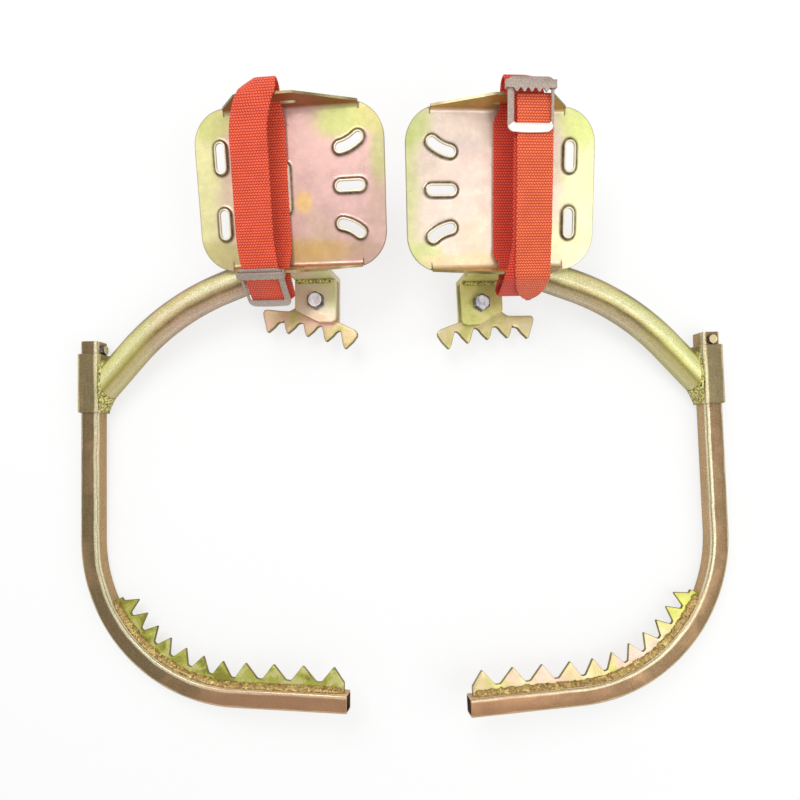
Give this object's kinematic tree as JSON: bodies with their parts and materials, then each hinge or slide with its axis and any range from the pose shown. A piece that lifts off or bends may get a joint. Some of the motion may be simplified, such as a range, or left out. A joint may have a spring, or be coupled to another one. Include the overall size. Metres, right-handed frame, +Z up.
{
  "type": "pole climber",
  "caption": "Pair of adjustable foot-clasp climbers for wooden poles: strapped pedal plate, curved arm, sliding toothed hook and pivoting toothed claw, plated steel",
  "frame": {"origin": "middle of the pair's footprint, on the floor that the pair lies on", "axes": "+X from the left climber to the right one, +Y from the hook ends towards the pedals, +Z up, the foot side"},
  "size_m": [0.6906, 0.6142, 0.1393],
  "materials": {
    "plated_pedal": "yellow zinc plated, satin, pink and green tints",
    "plated_arm": "yellow zinc plated, satin",
    "plated_sleeve": "yellow zinc plated, satin",
    "plated_bracket": "yellow zinc plated, satin",
    "plated_claw": "yellow zinc plated, satin",
    "plated_hook": "yellow zinc plated, satin, brown tint",
    "plated_teeth": "yellow zinc plated, satin",
    "plated_weld": "yellow zinc plated weld, rough",
    "zinc_bolt": "bright zinc",
    "webbing": "coarse woven, matte",
    "buckle_steel": "bare steel, satin"
  },
  "bodies": {
    "left_frame": {"left_pedal": "plated_pedal", "left_arm_tube": "plated_arm", "left_sleeve": "plated_sleeve", "left_sleeve_weld": "plated_weld", "left_pedal_weld": "plated_weld", "left_claw_bracket": "plated_bracket", "left_bracket_weld": "plated_weld", "left_claw_bolt": "zinc_bolt", "left_claw_nut": "zinc_bolt", "left_claw_spacers": "zinc_bolt", "left_strap": "webbing", "left_buckle_frame": "buckle_steel"},
    "left_hook": {"left_hook_tube": "plated_hook", "left_hook_teeth": "plated_teeth", "left_hook_weld": "plated_weld", "left_stop_bolt": "zinc_bolt", "left_stop_nut": "zinc_bolt"},
    "left_claw": {"left_claw": "plated_claw"},
    "left_buckle_bar": {"left_buckle_bar": "buckle_steel"},
    "right_frame": {"right_pedal": "plated_pedal", "right_arm_tube": "plated_arm", "right_sleeve": "plated_sleeve", "right_sleeve_weld": "plated_weld", "right_pedal_weld": "plated_weld", "right_claw_bracket": "plated_bracket", "right_bracket_weld": "plated_weld", "right_claw_bolt": "zinc_bolt", "right_claw_nut": "zinc_bolt", "right_claw_spacers": "zinc_bolt", "right_strap": "webbing", "right_strap_tail": "webbing", "right_buckle_frame": "buckle_steel"},
    "right_hook": {"right_hook_tube": "plated_hook", "right_hook_teeth": "plated_teeth", "right_hook_weld": "plated_weld", "right_stop_bolt": "zinc_bolt", "right_stop_nut": "zinc_bolt"},
    "right_claw": {"right_claw": "plated_claw"},
    "right_buckle_bar": {"right_buckle_bar": "buckle_steel"}
  },
  "joints": [
    {"name": "left_hook_slide", "type": "slide", "parent": "left_frame", "child": "left_hook", "axis": [0, 0.9998, 0.0184], "range_m": [0, 0.11]},
    {"name": "left_claw_pivot", "type": "hinge", "parent": "left_frame", "child": "left_claw", "pos_m": [-0.09018, 0.11866, 0.0224], "axis": [-0.1388, -0.0183, 0.9901], "range_deg": [-25, 25]},
    {"name": "left_buckle_slide", "type": "slide", "parent": "left_frame", "child": "left_buckle_bar", "axis": [0.113, -0.5662, -0.8165], "range_m": [0, 0.006]},
    {"name": "right_hook_slide", "type": "slide", "parent": "right_frame", "child": "right_hook", "axis": [-0.0576, 0.9982, 0.0184], "range_m": [0, 0.11]},
    {"name": "right_claw_pivot", "type": "hinge", "parent": "right_frame", "child": "right_claw", "pos_m": [0.07865, 0.11677, 0.0224], "axis": [0.1397, -0.0102, 0.9901], "range_deg": [-25, 25]},
    {"name": "right_buckle_slide", "type": "slide", "parent": "right_frame", "child": "right_buckle_bar", "axis": [0.0286, -0.9761, -0.2155], "range_m": [0, 0.006]},
    {"name": "right_climber_apart", "type": "slide", "parent": "left_frame", "child": "right_frame", "axis": [1, 0, 0], "range_m": [0, 0.1]}
  ]
}
